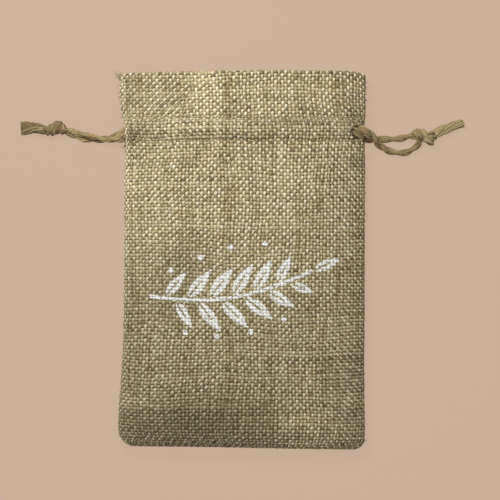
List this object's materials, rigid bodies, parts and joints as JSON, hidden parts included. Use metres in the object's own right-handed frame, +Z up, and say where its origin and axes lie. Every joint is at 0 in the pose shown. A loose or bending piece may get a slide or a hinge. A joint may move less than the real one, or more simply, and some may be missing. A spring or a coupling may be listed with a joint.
{
  "type": "jute drawstring pouch",
  "caption": "Small flat pouch of plain-woven jute with a deep hem at the mouth and two twine drawstrings, each knotted at one side, with frayed ends.",
  "frame": {"origin": "on the table that the pouch lies on, below the middle of the pouch's own box, its strings left out", "axes": "+X across the pouch to its right edge as seen from its front, +Y from the bottom fold to the mouth, +Z up from the table through the back wall and then the front wall"},
  "size_m": [0.1782, 0.1517, 0.0149],
  "materials": {
    "jute_cloth": "coarse plain weave of undyed jute, about 7 threads to the centimetre both ways",
    "jute_twine": "soft two-ply jute twine",
    "loose_fibre": "untwisted jute fibre"
  },
  "bodies": {
    "root": {"pouch_cloth": "jute_cloth", "string_left": "jute_twine", "string_right": "jute_twine", "knot_left": "jute_twine", "knot_right": "jute_twine", "tail_left": "loose_fibre", "tail_right": "loose_fibre"}
  },
  "joints": []
}
